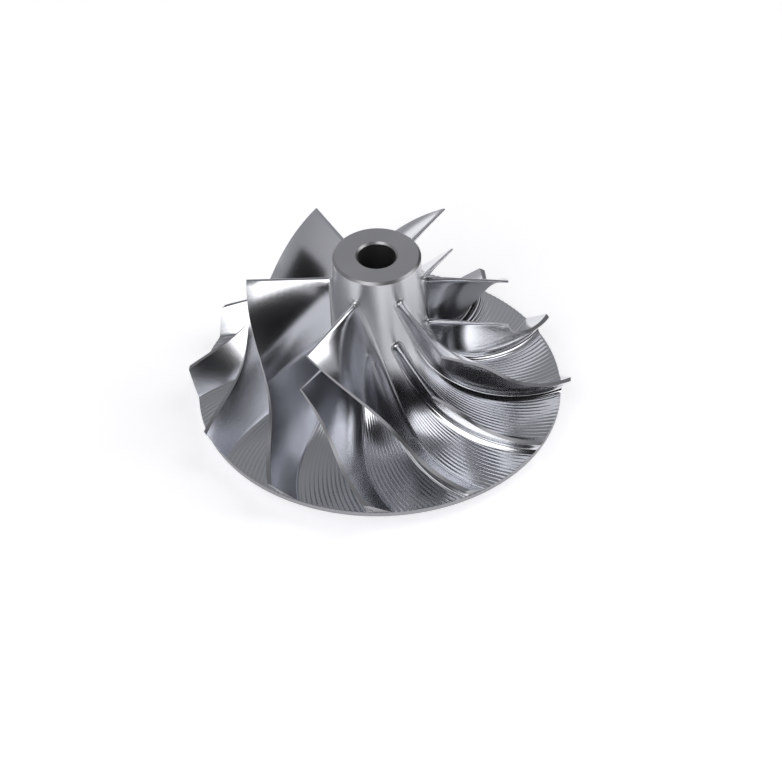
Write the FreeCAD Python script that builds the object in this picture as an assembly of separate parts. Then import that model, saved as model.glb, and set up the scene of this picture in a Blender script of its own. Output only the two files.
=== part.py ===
"""Compressor wheel of a turbocharger, milled from one piece of aluminium.

One turned blank (bore, nose, curved hub, thin disc, thickened back with a seat) carries six full
blades and six shorter splitter blades between them. Millimetres, +Z along the bore towards the nose,
origin on the bore axis in the plane of the rear seat. Heights of the hub and the blades are taken
from the front edge of the rim.

A blade is made as it is milled: straight lines run from a curve on the hub to a curve on the turned
outer line of the blades, half the blade's thickness is set off to each side of them, and the slab is
then trimmed to the turned outline, which gives the exact outer edge and the raked, overhanging tip.
"""
import FreeCAD, Part
import math
import os

Vector = FreeCAD.Vector

# ---------------------------------------------------------------- driving dimensions, mm and degrees
# bore and nose
bore_diameter = 8.0
bore_chamfer = 0.4
nose_diameter = 18.4
nose_height = 36.6            # nose face
nose_chamfer = 0.5

# disc and back
disc_diameter = 77.0
rim_thickness = 1.15
back_depth = 5.5              # from the front edge of the rim back to the seat
back_slope = 8.0              # the back thickens towards the axis at this angle
rim_flat_width = 2.5          # flat ring at the outer edge of the back
seat_diameter = 20.0
seat_chamfer = 0.4

# hub line: one curve from the nose, straight down at first, and out to the rim
hub_drop_height = 6.75        # how far down the curve heads before it bends
hub_bend_radius = 14.4        # the point that draws the bend towards the axis and the disc
hub_bend_height = 2.0

# outer line of the blades, drawn in the same way
inducer_diameter = 54.4
tip_diameter = 81.2           # the tips overhang the disc
tip_height = 3.85
outer_drop_height = 15.4
outer_bend_radius = 25.3
outer_bend_height = 8.1

# blades
blade_pairs = 6               # a full blade and a splitter make a pair
full_root_height = 30.65      # leading edge of a full blade, at the hub
full_tip_height = 29.7        # and at the outer line
splitter_root_height = 20.2
splitter_tip_height = 19.6
root_start = -1.9             # angle at which the first full blade starts, at the hub
root_wrap = 62.7              # angle that it covers on its way to the rim, anticlockwise from the nose
root_wrap_shape = (0.93, 0.635)
tip_start = -2.6              # the same three for the outer line
tip_wrap = 58.2
tip_wrap_shape = (0.74, 0.665)
root_thickness = 1.9
tip_thickness = 0.75
edge_root_thickness = 1.2     # the blades thin down towards the leading edge
edge_tip_thickness = 0.5
thinning_power = 4            # a higher power keeps the thinning closer to the leading edge

# allowances of the construction
root_sink = 1.0               # how deep a blade reaches into the hub
trim_allowance = 0.8          # stock beyond the outer line, before trimming
exit_allowance = 0.03         # stock beyond the tips, as a share of the blade's run
stations = 13                 # straight lines that carry a flank

NODE = "compressor_wheel"
AXIS = Vector(0, 0, 1)
ORIGIN = Vector(0, 0, 0)

# ---------------------------------------------------------------- worked out
bore_radius = bore_diameter / 2
nose_radius = nose_diameter / 2
disc_radius = disc_diameter / 2
inducer_radius = inducer_diameter / 2
tip_radius = tip_diameter / 2
seat_radius = seat_diameter / 2
rim_front = back_depth
rim_back = rim_front - rim_thickness
nose_face = rim_front + nose_height

# poles of the two lines as (radius, height)
hub_line = [(nose_radius, nose_face), (nose_radius, rim_front + hub_drop_height),
            (hub_bend_radius, rim_front + hub_bend_height), (disc_radius, rim_front)]
outer_line = [(inducer_radius, rim_front + full_tip_height),
              (inducer_radius, rim_front + outer_drop_height),
              (outer_bend_radius, rim_front + outer_bend_height),
              (tip_radius, rim_front + tip_height)]


def section_point(point):
    return Vector(point[0], 0, point[1])


def curve(poles, begin=0.0):
    """Return a contour's curve in the XZ plane, from a share of it to its end."""
    line = Part.BezierCurve()
    line.setPoles([section_point(pole) for pole in poles])
    line.segment(begin, 1.0)
    return line


def cubic(values, share):
    """Return the value at a share of a cubic curve with four control values."""
    rest = 1 - share
    weights = (rest ** 3, 3 * rest * rest * share, 3 * rest * share * share, share ** 3)
    return sum(weight * value for weight, value in zip(weights, values))


def on_line(poles, share):
    radii, heights = zip(*poles)
    return cubic(radii, share), cubic(heights, share)


def share_at_height(poles, height):
    """Return the share of a contour at which it comes down to a height."""
    low, high = 0.0, 1.0
    for _ in range(50):
        middle = (low + high) / 2
        if on_line(poles, middle)[1] > height:
            low = middle
        else:
            high = middle
    return low


full_root_share = share_at_height(hub_line, rim_front + full_root_height)


def wrapped_point(poles, line_share, start, total, shape, run_share):
    """Return the point of a contour, turned by the angle that the blade has covered there."""
    radius, height = on_line(poles, line_share)
    angle = math.radians(start + total * cubic((0, *shape, 1), run_share))
    return Vector(radius * math.cos(angle), radius * math.sin(angle), height)


def ruling(root_share, tip_share):
    """Return the root and the outer point of the full blade's middle surface at shares of its run."""
    line_share = full_root_share + (1 - full_root_share) * root_share
    root = wrapped_point(hub_line, line_share, root_start, root_wrap, root_wrap_shape, root_share)
    tip = wrapped_point(outer_line, tip_share, tip_start, tip_wrap, tip_wrap_shape, tip_share)
    return root, tip


def blade_station(first, share):
    """Return the left and right flank points inside the hub, then those beyond the outer line."""
    def at(s):
        return ruling(*(begin + (1 - begin) * s for begin in first))

    step = 1e-4
    root, tip = at(share)
    root_before, tip_before = at(share - step)
    root_after, tip_after = at(share + step)
    root_run = root_after - root_before
    tip_run = tip_after - tip_before
    span = tip - root
    fullness = 1 - max(0.0, 1 - share) ** thinning_power
    at_root = edge_root_thickness + (root_thickness - edge_root_thickness) * fullness
    at_tip = edge_tip_thickness + (tip_thickness - edge_tip_thickness) * fullness
    points = []
    for level in (-root_sink / span.Length, 1 + trim_allowance / span.Length):
        middle = root + span * level
        normal = (root_run + (tip_run - root_run) * level).cross(span).normalize()
        half = (at_root + (at_tip - at_root) * level) / 2
        points += [middle + normal * half, middle - normal * half]
    return points


def blade_slab(first):
    """Return one untrimmed blade whose root and outer curves start at shares of the full blade's."""
    shares = [(1 + exit_allowance) * i / (stations - 1) for i in range(stations)]
    splines = []
    for points in zip(*(blade_station(first, share) for share in shares)):
        spline = Part.BSplineCurve()
        spline.interpolate(list(points))
        splines.append(spline.toShape())
    low_left, low_right, high_left, high_right = splines

    def across(left, right, end):
        return Part.LineSegment(left.valueAt(getattr(left, end)), right.valueAt(getattr(right, end))).toShape()

    pairs = [(low_left, high_left), (low_right, high_right), (low_left, low_right), (high_left, high_right)]
    for end in ("FirstParameter", "LastParameter"):
        pairs.append((across(low_left, low_right, end), across(high_left, high_right, end)))
    shell = Part.makeShell([Part.makeRuledSurface(a, b) for a, b in pairs])
    shell.sewShape()
    solid = Part.Solid(shell)
    if solid.Volume < 0:
        solid.reverse()
    return solid


def polyline(points):
    corners = [section_point(point) for point in points]
    return [Part.LineSegment(a, b).toShape() for a, b in zip(corners, corners[1:])]


def revolved(edges):
    wire = Part.Wire(Part.__sortEdges__(edges))
    return Part.Face(wire).revolve(ORIGIN, AXIS, 360)


def blade_space():
    """The space that the turned outline leaves for the blades, down to inside the disc."""
    depth = rim_thickness * 0.7
    rake = (tip_radius - disc_radius) / tip_height
    closing = [outer_line[-1], (disc_radius - depth * rake, rim_front - depth), (0, rim_front - depth),
               (0, nose_face), (inducer_radius, nose_face), outer_line[0]]
    return revolved([curve(outer_line).toShape()] + polyline(closing))


def turned_hub():
    """The hub with its nose, disc, back, seat and bore."""
    chamfer_share = share_at_height(hub_line, nose_face - nose_chamfer)
    shoulder = on_line(hub_line, chamfer_share)
    back_run = disc_radius - rim_flat_width - seat_radius
    back_foot = rim_back - back_run * math.tan(math.radians(back_slope))
    outline = [(disc_radius, rim_front), (disc_radius, rim_back), (disc_radius - rim_flat_width, rim_back),
               (seat_radius, back_foot), (seat_radius, seat_chamfer), (seat_radius - seat_chamfer, 0),
               (bore_radius + bore_chamfer, 0), (bore_radius, bore_chamfer),
               (bore_radius, nose_face - bore_chamfer), (bore_radius + bore_chamfer, nose_face),
               (shoulder[0] - nose_chamfer, nose_face), shoulder]
    return revolved([curve(hub_line, chamfer_share).toShape()] + polyline(outline))


def splitter_first():
    """Return the shares of the full blade's root and outer runs at which the splitter starts."""
    root = share_at_height(hub_line, rim_front + splitter_root_height)
    tip = share_at_height(outer_line, rim_front + splitter_tip_height)
    return (root - full_root_share) / (1 - full_root_share), tip


def build():
    space = blade_space()
    full = blade_slab((0.0, 0.0)).common(space)
    splitter = blade_slab(splitter_first()).common(space)
    pitch = 360 / blade_pairs
    blades = []
    for i in range(blade_pairs):
        for blade, angle in ((full, i * pitch), (splitter, (i - 0.5) * pitch)):
            copy = blade.copy()
            copy.rotate(ORIGIN, AXIS, angle)
            blades.append(copy)
    return turned_hub().fuse(blades).Solids[0]


wheel = build()
os.makedirs("parts", exist_ok=True)
wheel.exportStep("parts/" + NODE + ".step")
print(NODE, "valid", wheel.isValid(), "volume", round(wheel.Volume, 1), "mm3, faces", len(wheel.Faces))
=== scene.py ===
"""Compressor wheel of a turbocharger, milled from one piece of aluminium, on a white studio table.

The whole wheel is modelled again here, finer than its CAD solid and on the same curves: the ball mill's
grooves run along the floor of the passages, a fillet runs round the foot of every blade, and the
leading edges are rounded. Shapes are worked out in millimetres and scaled to metres at the end.
"""
import math

import bmesh
import bpy
import numpy as np
from mathutils import Matrix, Vector


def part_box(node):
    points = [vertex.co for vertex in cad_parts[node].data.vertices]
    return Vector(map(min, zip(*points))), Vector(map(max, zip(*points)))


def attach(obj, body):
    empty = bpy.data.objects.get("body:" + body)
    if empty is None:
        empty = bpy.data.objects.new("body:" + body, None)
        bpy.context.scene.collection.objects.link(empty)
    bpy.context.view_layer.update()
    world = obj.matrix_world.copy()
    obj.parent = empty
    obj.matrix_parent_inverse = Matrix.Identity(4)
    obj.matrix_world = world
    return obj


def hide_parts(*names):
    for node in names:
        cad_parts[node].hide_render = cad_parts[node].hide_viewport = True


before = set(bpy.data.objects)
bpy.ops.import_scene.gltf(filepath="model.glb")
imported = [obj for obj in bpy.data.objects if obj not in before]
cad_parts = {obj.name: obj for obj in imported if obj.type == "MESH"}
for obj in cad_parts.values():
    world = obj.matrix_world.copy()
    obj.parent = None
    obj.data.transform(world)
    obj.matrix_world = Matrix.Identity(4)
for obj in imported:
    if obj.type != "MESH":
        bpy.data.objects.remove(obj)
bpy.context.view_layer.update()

NODE = "compressor_wheel"
MM = 0.001

# ---------------------------------------------------------------- sizes of the wheel, mm and degrees
nose_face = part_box(NODE)[1].z / MM
nose_radius = 9.2
nose_chamfer = 0.5
bore_radius = 4.0
bore_chamfer = 0.4

disc_radius = 38.5
rim_front = 5.5
rim_back = 4.35
rim_flat = 2.5
edge_break = 0.12
back_slope = 8.0
seat_radius = 10.0
seat_chamfer = 0.4

tip_radius = 40.6
tip_height = 3.85             # above the front edge of the rim

# poles of the floor's line and of the blades' outer line, as (radius, height)
hub_line = [(nose_radius, nose_face), (nose_radius, rim_front + 6.75), (14.4, rim_front + 2.0),
            (disc_radius, rim_front)]
outer_line = [(27.2, rim_front + 29.7), (27.2, rim_front + 15.4), (25.3, rim_front + 8.1),
              (tip_radius, rim_front + tip_height)]

blade_pairs = 6               # a full blade and a splitter make a pair
passages = 2 * blade_pairs
root_start, root_wrap, root_shape = -1.9, 62.7, (0.93, 0.635)
tip_start, tip_wrap, tip_shape = -2.6, 58.2, (0.74, 0.665)
full_root_height = rim_front + 30.65
splitter_root_height = rim_front + 20.2
splitter_tip_height = rim_front + 19.6
root_thickness, edge_root_thickness = 1.9, 1.2
tip_thickness, edge_tip_thickness = 0.75, 0.5
thinning_power = 4            # the higher, the nearer to the leading edge the blades thin down

# what the mill leaves
tool_radius = 0.9             # ball nose that mills the floor
grooves = 17                  # its passes from one blade to the next
groove_sink = 0.6             # share of a groove's depth that lies under the floor's line
fillet_radius = 0.9           # at the foot of the blades
edge_rounding = 1.6           # a leading edge is this many times as deep as half its thickness
blade_sink = 0.5              # how far a blade's foot reaches under the floor

# how finely the meshes are divided
columns_per_groove = 3
floor_rows, back_rows, bore_rows = 78, 8, 14
stations = 44                 # along a flank
station_crowding = 1.1        # above 1, they crowd towards the leading edge
edge_columns = 8              # round a leading edge
fillet_rows, flank_rows = 6, 11
merge_distance = 0.0005       # points nearer than this become one

# finishes, in the order of the material slots; the bored and edge slots also carry painted shade in their
# darker colours
FLOOR, FLANK, TURNED, BORED, EDGE = range(5)

passage_angle = 2 * math.pi / passages
groove_angle = passage_angle / grooves


# ---------------------------------------------------------------- curves, for numbers and for arrays
def cubic(values, share):
    """Value at a share of a cubic curve with four control values."""
    rest = 1 - share
    weights = (rest ** 3, 3 * rest * rest * share, 3 * rest * share * share, share ** 3)
    return sum(weight * value for weight, value in zip(weights, values))


def on_line(poles, share):
    """Radius and height at a share of a turned line."""
    radii, heights = zip(*poles)
    return cubic(radii, share), cubic(heights, share)


def share_at_height(poles, height):
    """Share of a turned line, or a little beyond its ends, at which it comes down to a height."""
    shares = np.linspace(-0.05, 1.05, 4401)
    heights = on_line(poles, shares)[1]
    return np.interp(-np.asarray(height), -heights, shares)


def unit(vectors):
    return vectors / np.linalg.norm(vectors, axis=-1, keepdims=True)


def outward(poles, share, angle):
    """Direction that points away from a turned line's surface."""
    r0, z0 = on_line(poles, share - 1e-4)
    r1, z1 = on_line(poles, share + 1e-4)
    return unit(np.stack([(z0 - z1) * np.cos(angle), (z0 - z1) * np.sin(angle), r1 - r0], axis=-1))


def on_surface(poles, share, angle):
    """Points of a turned line's surface."""
    radius, height = on_line(poles, share)
    return np.stack([radius * np.cos(angle), radius * np.sin(angle), height + 0 * angle], axis=-1)


full_root_share = float(share_at_height(hub_line, full_root_height))


def root_angle(run_share):
    """Angle at which a full blade's foot stands at a share of its run."""
    return np.radians(root_start + root_wrap * cubic((0, *root_shape, 1), run_share))


def ruling(root_share, tip_share):
    """Root and outer point of a blade's middle surface, at shares of a full blade's run."""
    root = on_surface(hub_line, full_root_share + (1 - full_root_share) * root_share, root_angle(root_share))
    tip_angle = np.radians(tip_start + tip_wrap * cubic((0, *tip_shape, 1), tip_share))
    return root, on_surface(outer_line, tip_share, tip_angle)


def beyond(poles, points):
    """How far points lie outside a turned line, along the radius."""
    radius = np.hypot(points[..., 0], points[..., 1])
    return radius - on_line(poles, share_at_height(poles, points[..., 2]))[0]


def crossing(quantity, low, high):
    """Where a quantity that grows from low to high becomes positive, for every column at once."""
    for _ in range(22):             # leaves less than a millionth of the range
        between = (low + high) / 2
        below = quantity(between) < 0
        low = np.where(below, between, low)
        high = np.where(below, high, between)
    return (low + high) / 2


# ---------------------------------------------------------------- body of revolution with the milled floor
def wheel_outline():
    """Closed outline from the nose down the floor, round the rim, along the back and up the bore.

    A point is radius, height, share of the floor or of the turn that its ring gets, and its finish."""
    first = float(share_at_height(hub_line, nose_face - nose_chamfer))
    points = []
    for i in range(floor_rows + 1):
        share = first + (1 - first) * i / floor_rows
        points.append((*on_line(hub_line, share), share, FLOOR))
    back_run = disc_radius - rim_flat - seat_radius
    back_foot = rim_back - back_run * math.tan(math.radians(back_slope))
    # the rim's outer face takes the edge finish, whose darker colour is painted shade
    points += [(disc_radius, rim_front - edge_break, 1, EDGE), (disc_radius, rim_back + edge_break, 1, EDGE),
               (disc_radius - edge_break, rim_back, 1, TURNED), (disc_radius - rim_flat, rim_back, 1, TURNED)]
    for i in range(1, back_rows):
        t = i / back_rows
        radius, height = disc_radius - rim_flat - back_run * t, rim_back + (back_foot - rim_back) * t
        points.append((radius, height, 1, TURNED))
    points += [(seat_radius, back_foot, 1, TURNED), (seat_radius, seat_chamfer, 1, TURNED),
               (seat_radius - seat_chamfer, 0, 1, TURNED), (bore_radius + bore_chamfer, 0, 1, TURNED),
               (bore_radius, bore_chamfer, 1, BORED)]
    # the bore takes the bored finish, whose darker grey is painted shade
    bore_length = nose_face - 2 * bore_chamfer
    for i in range(1, bore_rows + 1):
        points.append((bore_radius, bore_chamfer + bore_length * i / bore_rows, 1 - i / bore_rows, BORED))
    points += [(bore_radius + bore_chamfer, nose_face, 0, TURNED),
               (nose_radius - nose_chamfer, nose_face, 0, TURNED)]
    return points


def spun_outline():
    """Spin the outline over one passage, then copy that passage round the axis."""
    bm = bmesh.new()
    bm.verts.layers.float.new("share")
    bm.verts.layers.int.new("finish")
    share_of, finish_of = bm.verts.layers.float["share"], bm.verts.layers.int["finish"]
    ring = []
    for radius, height, share, finish in wheel_outline():
        vert = bm.verts.new((radius, 0, height))
        vert[share_of] = share
        vert[finish_of] = finish
        ring.append(vert)
    edges = [bm.edges.new(pair) for pair in zip(ring, ring[1:] + ring[:1])]
    bmesh.ops.spin(bm, geom=ring + edges, cent=(0, 0, 0), axis=(0, 0, 1), dvec=(0, 0, 0),
                   angle=passage_angle, steps=grooves * columns_per_groove, use_merge=False)
    bmesh.ops.spin(bm, geom=bm.verts[:] + bm.edges[:] + bm.faces[:], cent=(0, 0, 0), axis=(0, 0, 1),
                   dvec=(0, 0, 0), angle=2 * math.pi - passage_angle, steps=passages - 1, use_duplicate=True)
    bmesh.ops.remove_doubles(bm, verts=bm.verts, dist=merge_distance)
    bmesh.ops.recalc_face_normals(bm, faces=bm.faces)
    return bm


def body_finish(face, finishes):
    """Finish of a face of the body, from those of its corners."""
    slopes = abs(face.normal.z) < 0.98
    # chamfers of nose and bore take the bore's darker grey: painted shade that dims their highlight rings
    if slopes and face.calc_center_median().z > nose_face - nose_chamfer:
        return BORED                            # chamfers of nose and bore, as dull as the bore
    if EDGE in finishes:
        return EDGE
    return min((finish for finish in finishes if finish != FLOOR), default=FLOOR)


def groove_height(radius, share, run, across):
    """How high the milled floor stands above its line, at a place across a groove from -0.5 to 0.5."""
    step = 1e-3
    r0, z0 = on_line(hub_line, share - step)
    r1, z1 = on_line(hub_line, share + step)
    run_step = step / (1 - full_root_share)
    sweep = radius * (root_angle(np.clip(run + run_step, 0, 1)) - root_angle(np.clip(run - run_step, 0, 1)))
    meridian = np.hypot(r1 - r0, z1 - z0)
    width = radius * groove_angle * meridian / np.hypot(meridian, sweep)    # square to the tool's way
    rise = tool_radius - np.sqrt(tool_radius ** 2 - (across * width) ** 2)
    ridge_rise = tool_radius - np.sqrt(tool_radius ** 2 - (width / 2) ** 2)
    return rise - ridge_rise * groove_sink


def turned_body():
    """The body, its rings turned along with the blades and the grooves sunk into its floor."""
    bm = spun_outline()
    share_of, finish_of = bm.verts.layers.float["share"], bm.verts.layers.int["finish"]
    for face in bm.faces:
        face.material_index = body_finish(face, [vert[finish_of] for vert in face.verts])
        face.smooth = True

    co = np.array([vert.co for vert in bm.verts])
    share = np.array([vert[share_of] for vert in bm.verts])
    is_floor = np.array([vert[finish_of] == FLOOR for vert in bm.verts])
    angle = np.arctan2(co[:, 1], co[:, 0])
    radius = np.hypot(co[:, 0], co[:, 1])
    run = np.clip((share - full_root_share) / (1 - full_root_share), 0, 1)
    across = (angle / groove_angle + 1e-6) % 1 - 0.5
    even_turn = root_angle(0.0) + (root_angle(1.0) - root_angle(0.0)) * share
    place = angle + np.where(is_floor, root_angle(run), even_turn)
    moved = np.stack([radius * np.cos(place), radius * np.sin(place), co[:, 2]], axis=-1)
    raised = np.where(is_floor, groove_height(radius, share, run, across), 0)
    moved += outward(hub_line, share, place) * raised[:, None]
    for vert, point in zip(bm.verts, moved):
        vert.co = point

    # the ridges between grooves are sharp, and so is each corner that isn't on the floor
    bm.normal_update()
    ridge = is_floor & (np.abs(across + 0.5) < 0.02)
    sharp_angle = math.radians(20)
    for edge in bm.edges:
        a, b = (vert.index for vert in edge.verts)
        on_floor = all(face.material_index == FLOOR for face in edge.link_faces)
        edge.smooth = not (ridge[a] and ridge[b] or not on_floor and edge.calc_face_angle() > sharp_angle)

    # the map that the lay follows: the way down the floor, and a millimetre for each groove
    shares = np.linspace(0, 1, 401)
    steps = np.hypot(*np.diff(np.array(on_line(hub_line, shares))))
    down = np.interp(share, shares, np.concatenate([[0], np.cumsum(steps)]))
    run_uv = bm.loops.layers.uv.new("run")
    for face in bm.faces:
        for loop in face.loops:
            i = loop.vert.index
            loop[run_uv].uv = (down[i] * MM, angle[i] / groove_angle * MM)
    return bm


# ---------------------------------------------------------------- blades
def blade_columns():
    """Columns of a blade's grid: from the exit up the left flank, round the leading edge and back down.

    Each has its part of the run, the share of the rounding's depth by which it is set back, and its side
    of the middle surface, from 1 to -1."""
    t = np.linspace(1, 0, stations + 1) ** station_crowding
    turn = np.radians(np.linspace(90, -90, edge_columns + 1))[1:-1]
    part = np.concatenate([t, np.zeros(edge_columns - 1), t[::-1]])
    setback = np.concatenate([1 - t, 1 - np.cos(turn), 1 - t[::-1]])
    side = np.concatenate([np.ones(stations + 1), np.sin(turn), -np.ones(stations + 1)])
    return part, setback, side


run_part, setback, side = blade_columns()


def middle(first, share, level):
    """Middle surface at shares of a blade's run and at levels from the foot, 0, to the outer line, 1.

    Returns the points, unit normals, half the thickness and the length of the run there. first is where
    the blade starts, as shares of a full blade's root and outer runs."""
    def at(place):
        return ruling(*(begin + (1 - begin) * place for begin in first))

    step = 1e-4
    root, tip = at(share)
    root_before, tip_before = at(share - step)
    root_after, tip_after = at(share + step)
    fullness = 1 - np.clip(1 - share, 0, 1) ** thinning_power
    at_root = edge_root_thickness + (root_thickness - edge_root_thickness) * fullness
    at_tip = edge_tip_thickness + (tip_thickness - edge_tip_thickness) * fullness
    half = (at_root + (at_tip - at_root) * level) / 2
    level = level[..., None]
    span = tip - root
    run = ((root_after - root_before) * (1 - level) + (tip_after - tip_before) * level) / (2 * step)
    return root + span * level, unit(np.cross(run, span)), half, np.linalg.norm(run, axis=-1)


def blade_surface(first, level, end):
    """Points of a blade's surface, one level and one end of the run for each column."""
    _, _, edge_half, edge_run = middle(first, np.zeros_like(level), level)
    share = run_part * end + setback * edge_rounding * edge_half / edge_run
    point, normal, half, _ = middle(first, share, level)
    return point + normal * (half * side)[..., None]


def blade_rows(first, end):
    """Rows of a blade that ends at the given shares of its run: under the floor, up the fillet and flanks."""
    def surface(level):
        return blade_surface(first, level, end)

    ones = np.ones_like(run_part)
    # the levels at which each column comes out of the floor and reaches the outer line
    at_hub = crossing(lambda level: beyond(hub_line, surface(level)), -0.4 * ones, 0.5 * ones)
    at_top = crossing(lambda level: beyond(outer_line, surface(level)), 0.6 * ones, 1.5 * ones)

    # directions at the foot: up the flank, out of the flank and out of the floor
    foot = surface(at_hub)
    step = 1e-3
    rise = (surface(at_hub + step) - foot) / step
    up = unit(rise)
    along = np.empty_like(foot)
    along[1:-1] = foot[2:] - foot[:-2]
    along[0] = foot[1] - foot[0]
    along[-1] = foot[-1] - foot[-2]
    out = unit(np.cross(along, up))
    if np.dot(out[0], foot[0] - foot[-1]) < 0:
        out = -out
    hub_normal = outward(hub_line, share_at_height(hub_line, foot[:, 2]), np.arctan2(foot[:, 1], foot[:, 0]))
    across = np.cross(up, out)
    hub_normal = unit(hub_normal - across * np.sum(hub_normal * across, axis=-1, keepdims=True))

    # the fillet is an arc that touches the floor and the flank
    lean = np.sum(hub_normal * out, axis=-1, keepdims=True)
    corner = np.arccos(np.clip(lean, -1, 1))
    centre = foot + (hub_normal + out) * fillet_radius / (1 + lean)
    rows = [foot - hub_normal * blade_sink, centre - hub_normal * (fillet_radius + blade_sink)]
    for i in range(fillet_rows + 1):
        t = i / fillet_rows
        spoke = (hub_normal * np.sin((1 - t) * corner) + out * np.sin(t * corner)) / np.sin(corner)
        rows.append(centre - spoke * fillet_radius)

    start = at_hub + np.linalg.norm(rows[-1] - foot, axis=-1) / np.linalg.norm(rise, axis=-1)
    for i in range(1, flank_rows + 1):
        rows.append(surface(start + (at_top - start) * i / flank_rows))
    return np.array(rows)


def blade_shape(first):
    """A blade's points: closing row at the bottom, trimmed rows, closing row along the tip."""
    # the blades end on a raked cone: find the end of the run that puts each row's ends on it
    rake = (tip_radius - disc_radius) / tip_height
    trial_ends = np.linspace(0.95, 1.04, 7)
    overshoot = []
    for end in trial_ends:
        exits = blade_rows(first, np.full_like(run_part, end))[:, [0, -1]]
        radius = np.hypot(exits[..., 0], exits[..., 1])
        overshoot.append(radius - disc_radius - rake * (exits[..., 2] - rim_front))
    overshoot = np.array(overshoot)
    rows = []
    for row in range(overshoot.shape[1]):
        left, right = (np.interp(0, overshoot[:, row, flank], trial_ends) for flank in (0, 1))
        rows.append(blade_rows(first, np.where(side > 0, left, right))[row])
    bottom = (rows[0] + rows[0][::-1]) / 2
    top = (rows[-1] + rows[-1][::-1]) / 2
    return np.array([bottom, *rows, top])


def blade(first):
    """A closed blade: a grid whose points are set on the blade's shape and whose ends are merged."""
    shape = blade_shape(first)
    row_count, column_count = shape.shape[:2]
    bm = bmesh.new()
    bmesh.ops.create_grid(bm, x_segments=column_count, y_segments=row_count - 1, size=1)
    place = {}
    for vert in bm.verts:
        column = round((vert.co.x + 1) / 2 * column_count)
        row = round((vert.co.y + 1) / 2 * (row_count - 1))
        place[vert] = (row, column)

    # lengths along the rows, from the leading edge, and up the columns
    along = np.cumsum(np.linalg.norm(np.diff(shape, axis=1), axis=-1), axis=1)
    along = np.concatenate([np.zeros((row_count, 1)), along], axis=1)
    leading = column_count // 2
    along = np.abs(along - along[:, leading:leading + 1])
    up = np.cumsum(np.linalg.norm(np.diff(shape, axis=0), axis=-1), axis=0)
    up = np.concatenate([np.zeros((1, column_count)), up])

    run_uv = bm.loops.layers.uv.new("run")
    last_fillet_strip = 2 + fillet_rows
    for face in bm.faces:
        rows, columns = zip(*(place[vert] for vert in face.verts))
        face.smooth = True
        # tip lands and exit faces take the edge finish, whose darker colour is painted shade
        if max(rows) == row_count - 1 or max(columns) == column_count:
            face.material_index = EDGE
        elif min(rows) <= last_fillet_strip:
            face.material_index = FLOOR
        else:
            face.material_index = FLANK
        for loop in face.loops:
            row, column = place[loop.vert]
            loop[run_uv].uv = (along[row, column % column_count] * MM, up[row, column % column_count] * MM)
    for edge in bm.edges:
        (row_a, column_a), (row_b, column_b) = (place[vert] for vert in edge.verts)
        on_tip = row_a == row_b == row_count - 2
        on_exit = column_a == column_b and column_a in (0, column_count - 1, column_count)
        edge.smooth = not (on_tip or on_exit)
    for vert, (row, column) in place.items():
        vert.co = shape[row, column % column_count]
    bmesh.ops.remove_doubles(bm, verts=bm.verts, dist=merge_distance)
    bmesh.ops.recalc_face_normals(bm, faces=bm.faces)
    return bm


def whole_wheel():
    """Join the body and the twelve blades in one mesh, in metres."""
    wheel = turned_body()
    pitch = 2 * math.pi / blade_pairs
    splitter_root = float(share_at_height(hub_line, splitter_root_height))
    splitter_first = ((splitter_root - full_root_share) / (1 - full_root_share),
                      float(share_at_height(outer_line, splitter_tip_height)))
    for first, offset in (((0.0, 0.0), 0.0), (splitter_first, -pitch / 2)):
        bm = blade(first)
        bmesh.ops.rotate(bm, cent=(0, 0, 0), matrix=Matrix.Rotation(offset, 3, "Z"), verts=bm.verts)
        mesh = bpy.data.meshes.new("blade")
        for _ in range(blade_pairs):
            bm.to_mesh(mesh)
            wheel.from_mesh(mesh)
            bmesh.ops.rotate(bm, cent=(0, 0, 0), matrix=Matrix.Rotation(pitch, 3, "Z"), verts=bm.verts)
        bm.free()
        bpy.data.meshes.remove(mesh)
    bmesh.ops.scale(wheel, vec=(MM, MM, MM), verts=wheel.verts)
    mesh = bpy.data.meshes.new("compressor_wheel_milled")
    wheel.to_mesh(mesh)
    wheel.free()
    return mesh


# ---------------------------------------------------------------- finishes
def linear(hex_colour):
    """Linear colour with alpha from an sRGB hex value."""
    values = [int(hex_colour[i:i + 2], 16) / 255 for i in (1, 3, 5)]
    return (*[v / 12.92 if v <= 0.04045 else ((v + 0.055) / 1.055) ** 2.4 for v in values], 1.0)


def add(tree, kind, links=(), **settings):
    """Add a node. A setting is a property or the value of a socket; a link is (socket, source)."""
    node = tree.nodes.new(kind)
    for key, value in settings.items():
        if hasattr(node, key):
            setattr(node, key, value)
        else:
            node.inputs[key.replace("_", " ")].default_value = value
    for socket, source in links:
        tree.links.new(source, node.inputs[socket])
    return node


def metal(name, colour, roughness, anisotropy=0.0):
    """A bare metal: returns the material, its node tree and its shader."""
    material = bpy.data.materials.new(name)
    material.use_nodes = True
    tree = material.node_tree
    shader = tree.nodes["Principled BSDF"]
    shader.inputs["Base Color"].default_value = linear(colour)
    shader.inputs["Metallic"].default_value = 1.0
    shader.inputs["Roughness"].default_value = roughness
    shader.inputs["Anisotropic"].default_value = anisotropy
    return material, tree, shader


def distance_from_axis(tree):
    """Output that holds the distance from the bore's axis, in metres."""
    place = add(tree, "ShaderNodeTexCoord")
    flat = add(tree, "ShaderNodeVectorMath", [(0, place.outputs["Object"])], operation="MULTIPLY")
    flat.inputs[1].default_value = (1, 1, 0)
    return add(tree, "ShaderNodeVectorMath", [(0, flat.outputs[0])], operation="LENGTH").outputs["Value"]


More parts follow.
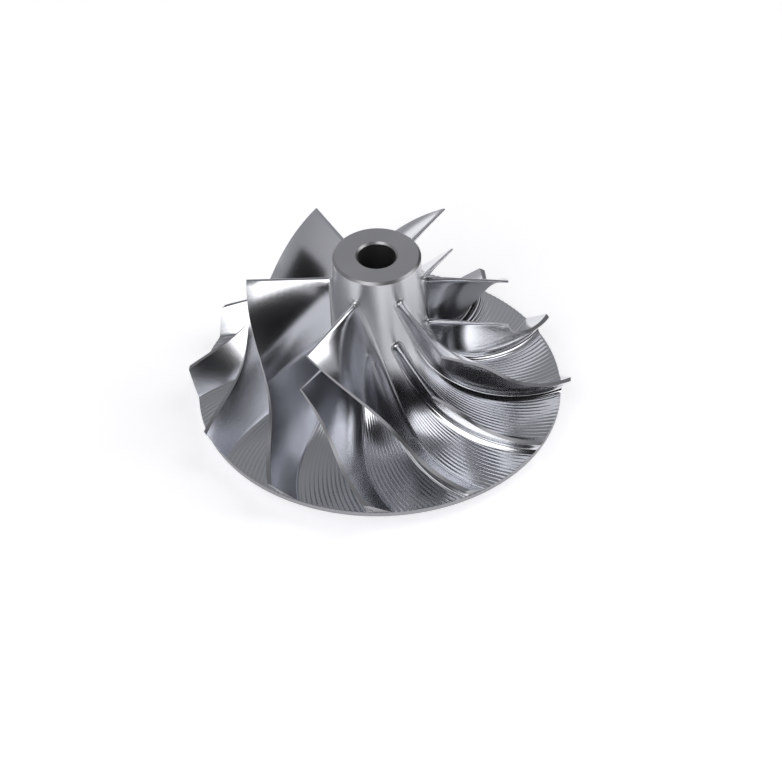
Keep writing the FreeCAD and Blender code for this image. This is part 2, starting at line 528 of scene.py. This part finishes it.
def tool_lay(tree, shader, source, cell, detail, strength, depth):
    """Bump of stretched noise, for the lay that a tool leaves: the cell's three sizes and depth in mm."""
    stretch = add(tree, "ShaderNodeMapping", [("Vector", source)], Scale=[1 / (size * MM) for size in cell])
    noise = add(tree, "ShaderNodeTexNoise", [("Vector", stretch.outputs["Vector"])], Scale=1.0, Detail=detail)
    bump = add(tree, "ShaderNodeBump", [("Height", noise.outputs[0])], Strength=strength, Distance=depth * MM)
    tree.links.new(bump.outputs["Normal"], shader.inputs["Normal"])


def ball_milled():
    """Aluminium bar, ball-end milled. The eye gets bright grooves that mirror the room in streaks.

    Round the hub the passes crowd together, and the mirror there turns to a satin sheen."""
    material, tree, shader = metal("aluminium_ball_milled", "#D8D9DC", 0.15)
    satin = add(tree, "ShaderNodeMapRange", [("Value", distance_from_axis(tree))],
                From_Min=9.4 * MM, From_Max=14.0 * MM, To_Min=0.32, To_Max=0.15)
    tree.links.new(satin.outputs["Result"], shader.inputs["Roughness"])
    # the real lay is some hundredths of a millimetre wide. It is drawn coarser, 16.7 mm long and
    # 1 / 1.7 of a groove wide, so that it shows.
    uv = add(tree, "ShaderNodeUVMap", uv_map="run")
    tool_lay(tree, shader, uv.outputs["UV"], (16.667, 1 / 1.7, 1), 0.0, 0.1, 0.03)
    return material


def flank_milled():
    """Aluminium bar, milled with the side of the tool. The eye gets a soft mirror with hardly a mark."""
    material, tree, shader = metal("aluminium_flank_milled", "#DADBDF", 0.17)
    # the real marks are about 0.1 mm apart. They are drawn coarser, 0.9 mm apart and 28.6 mm long,
    # so that they show.
    uv = add(tree, "ShaderNodeUVMap", uv_map="run")
    tool_lay(tree, shader, uv.outputs["UV"], (28.571, 1 / 1.1, 1), 0.0, 0.07, 0.03)
    return material


def turned(name, colour, roughness):
    """Aluminium bar, turned on a lathe. The eye gets a satin sheen that fans out from the axis."""
    material, tree, shader = metal(name, colour, roughness, anisotropy=0.5)
    feed = 0.2                # mm per turn of the lathe, which sets the rings apart
    rings = add(tree, "ShaderNodeTexNoise", [("W", distance_from_axis(tree))], noise_dimensions="1D",
                Scale=1 / (feed * MM), Detail=2.0)
    bump = add(tree, "ShaderNodeBump", [("Height", rings.outputs[0])], Strength=0.4, Distance=0.02 * MM)
    tree.links.new(bump.outputs["Normal"], shader.inputs["Normal"])
    tangent = add(tree, "ShaderNodeTangent", direction_type="RADIAL", axis="Z")
    tree.links.new(tangent.outputs["Tangent"], shader.inputs["Tangent"])
    return material


def bored():
    """Aluminium bar, bored and reamed. The eye gets a dull grey: rougher than the turned faces, and painted
    darker, as painted shade down the bore.
    """
    material, tree, shader = metal("aluminium_bored_painted_shade", "#A8A8AA", 0.38)
    # the reamer's real lay is about 0.1 mm wide. It is drawn at 0.25 mm, so that it shows.
    place = add(tree, "ShaderNodeTexCoord")
    tool_lay(tree, shader, place.outputs["Object"], (6.667, 6.667, 0.25), 2.0, 0.4, 0.02)
    return material


wheel = bpy.data.objects.new("milled_wheel", whole_wheel())
bpy.context.scene.collection.objects.link(wheel)
# the rim and the blades' outer edges are duller than the other turned faces, and painted darker: painted
# shade that dims what they mirror
for material in (ball_milled(), flank_milled(), turned("aluminium_turned", "#D0D0D3", 0.32), bored(),
                 turned("aluminium_turned_edge_painted_shade", "#9C9C9F", 0.42)):
    wheel.data.materials.append(material)
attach(wheel, "root")
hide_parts(NODE)

# ---------------------------------------------------------------- camera
elevation, roll = 0.7360, -0.0209
camera = bpy.data.objects.new("camera", bpy.data.cameras.new("camera"))
bpy.context.scene.collection.objects.link(camera)
camera.data.lens = 162.7
camera.data.sensor_width = 36
camera.data.clip_start = 0.01
camera.data.clip_end = 50
axes = Matrix(((1, 0, 0),
               (0, math.sin(elevation), -math.cos(elevation)),
               (0, math.cos(elevation), math.sin(elevation))))
camera.matrix_world = (Matrix.Translation(Vector((2.37, -558.7, 510.3)) * MM) @ axes.to_4x4()
                       @ Matrix.Rotation(roll, 4, "Z"))
bpy.context.scene.camera = camera

# ---------------------------------------------------------------- table, softboxes, flags and cards
table_side = 6                # m
table_lift = 0.45             # added to the table's own brightness, where 1 is white
softbox_distance = 1.2        # m from the wheel
flag_distance = 1.5           # m, behind the softboxes
aim = Vector((0, 0, 0.02))    # the middle of the wheel


def towards(azimuth, height, distance):
    """A place round the wheel: azimuth from the far side over the right, and height, both in degrees."""
    a, e = math.radians(azimuth), math.radians(height)
    return Vector((math.sin(a) * math.cos(e), math.cos(a) * math.cos(e), math.sin(e))) * distance


def spread(azimuths, heights, distance):
    """Place, width and length of a sheet that fills a range of azimuths and heights, seen from the wheel."""
    azimuth, height = sum(azimuths) / 2, sum(heights) / 2
    narrower = math.cos(math.radians(height))
    width = 2 * distance * math.tan(math.radians(azimuths[1] - azimuths[0]) / 2) * narrower
    length = 2 * distance * math.tan(math.radians(heights[1] - heights[0]) / 2)
    return towards(azimuth, height, distance), width, length


def face_wheel(obj, place):
    obj.location = place
    obj.rotation_euler = (aim - place).to_track_quat("-Z", "Y").to_euler()


def softbox(name, azimuths, heights, radiance):
    """A soft lamp that fills a range of directions, as bright as the radiance wherever it is mirrored."""
    place, width, length = spread(azimuths, heights, softbox_distance)
    lamp = bpy.data.lights.new(name, "AREA")
    lamp.shape = "RECTANGLE"
    lamp.size, lamp.size_y = width, length
    lamp.energy = radiance * math.pi * width * length
    obj = bpy.data.objects.new(name, lamp)
    bpy.context.scene.collection.objects.link(obj)
    face_wheel(obj, place)
    obj.visible_camera = False


def panel(name, width, length, material):
    """A flat sheet of the stage."""
    bm = bmesh.new()
    bmesh.ops.create_grid(bm, x_segments=1, y_segments=1, size=0.5)
    bmesh.ops.scale(bm, vec=(width, length, 1), verts=bm.verts)
    mesh = bpy.data.meshes.new(name)
    bm.to_mesh(mesh)
    bm.free()
    mesh.materials.append(material)
    obj = bpy.data.objects.new(name, mesh)
    bpy.context.scene.collection.objects.link(obj)
    return obj


def show_in_metal_alone(obj):
    obj.visible_camera = False
    obj.visible_diffuse = False
    obj.visible_shadow = False


def flag(name, azimuths, heights, material):
    """A sheet of felt beside the table that faces the wheel and darkens a range of directions."""
    place, width, length = spread(azimuths, heights, flag_distance)
    obj = panel(name, width, length, material)
    face_wheel(obj, place)
    show_in_metal_alone(obj)


def card(name, across, along, material):
    """A card that lies on the table between two widths and two depths, in millimetres."""
    obj = panel(name, (across[1] - across[0]) * MM, (along[1] - along[0]) * MM, material)
    obj.location = Vector((sum(across) / 2, sum(along) / 2, 1)) * MM
    show_in_metal_alone(obj)


def felt_cloth(name, colour):
    """Wool felt, pressed: matt, with no sheen at all."""
    material = bpy.data.materials.new(name)
    material.use_nodes = True
    shader = material.node_tree.nodes["Principled BSDF"]
    shader.inputs["Base Color"].default_value = linear(colour)
    shader.inputs["Roughness"].default_value = 0.9
    shader.inputs["Specular IOR Level"].default_value = 0.1
    return material


def table_top():
    """White laminate, matt. The camera and the metal see it lifted to white alike, and its shadow stays."""
    material = bpy.data.materials.new("white_laminate")
    material.use_nodes = True
    tree = material.node_tree
    shader = tree.nodes["Principled BSDF"]
    shader.inputs["Base Color"].default_value = linear("#F0F0F2")
    shader.inputs["Roughness"].default_value = 0.8
    shader.inputs["Emission Color"].default_value = linear("#FFFFFF")
    path = add(tree, "ShaderNodeLightPath")
    mirrored = add(tree, "ShaderNodeMath", operation="MAXIMUM",
                   links=[(0, path.outputs["Is Glossy Ray"]), (1, path.outputs["Is Transmission Ray"])])
    seen = add(tree, "ShaderNodeMath", operation="MAXIMUM",
               links=[(0, path.outputs["Is Camera Ray"]), (1, mirrored.outputs[0])])
    lift = add(tree, "ShaderNodeMath", [(0, seen.outputs[0])], operation="MULTIPLY")
    lift.inputs[1].default_value = table_lift
    tree.links.new(lift.outputs[0], shader.inputs["Emission Strength"])
    return material


panel("table", table_side, table_side, table_top())
black = felt_cloth("black_felt", "#1A1A1C")
softbox("key_softbox", (-174, -134), (17, 65), 2.0)
softbox("side_softbox", (69, 112), (25, 69), 2.1)
softbox("left_softbox", (-120, -70), (42, 66), 0.6)
flag("right_flag", (112, 182), (-4, 62), black)
flag("low_flag", (-190, -152), (-8, 15), black)
flag("side_low_flag", (50, 114), (-8, 19), black)
flag("left_flag", (-127, -93), (5, 33), black)
flag("back_flag", (28, 62), (-10, 34), black)
# the cards lie just outside the camera's view
grey, pale = felt_cloth("grey_felt", "#7C7C7E"), felt_cloth("pale_felt", "#C4C4C7")
card("right_card", (98, 900), (-900, 900), grey)
card("near_card", (-900, 98), (-900, -112), grey)
card("far_card", (-98, 98), (155, 900), pale)
card("left_card", (-900, -98), (-112, 900), pale)


def studio_room():
    """World that is palest at the horizon and darker overhead, like the walls and ceiling of a studio."""
    world = bpy.data.worlds.new("studio")
    world.use_nodes = True
    tree = world.node_tree
    direction = add(tree, "ShaderNodeTexCoord")
    parts = add(tree, "ShaderNodeSeparateXYZ", [(0, direction.outputs["Generated"])])
    room = add(tree, "ShaderNodeValToRGB", [(0, parts.outputs["Z"])])
    horizon, zenith = room.color_ramp.elements
    horizon.position, horizon.color = 0.0, linear("#B6B6B9")
    zenith.position, zenith.color = 1.0, linear("#7C7D80")
    for position, colour in ((0.35, "#ABABAF"), (0.6, "#97989B"), (0.8, "#8A8B8E")):
        room.color_ramp.elements.new(position).color = linear(colour)
    background = tree.nodes["Background"]
    background.inputs["Strength"].default_value = 1.0
    tree.links.new(room.outputs["Color"], background.inputs["Color"])
    return world


bpy.context.scene.world = studio_room()
bpy.context.scene.view_settings.view_transform = "Standard"
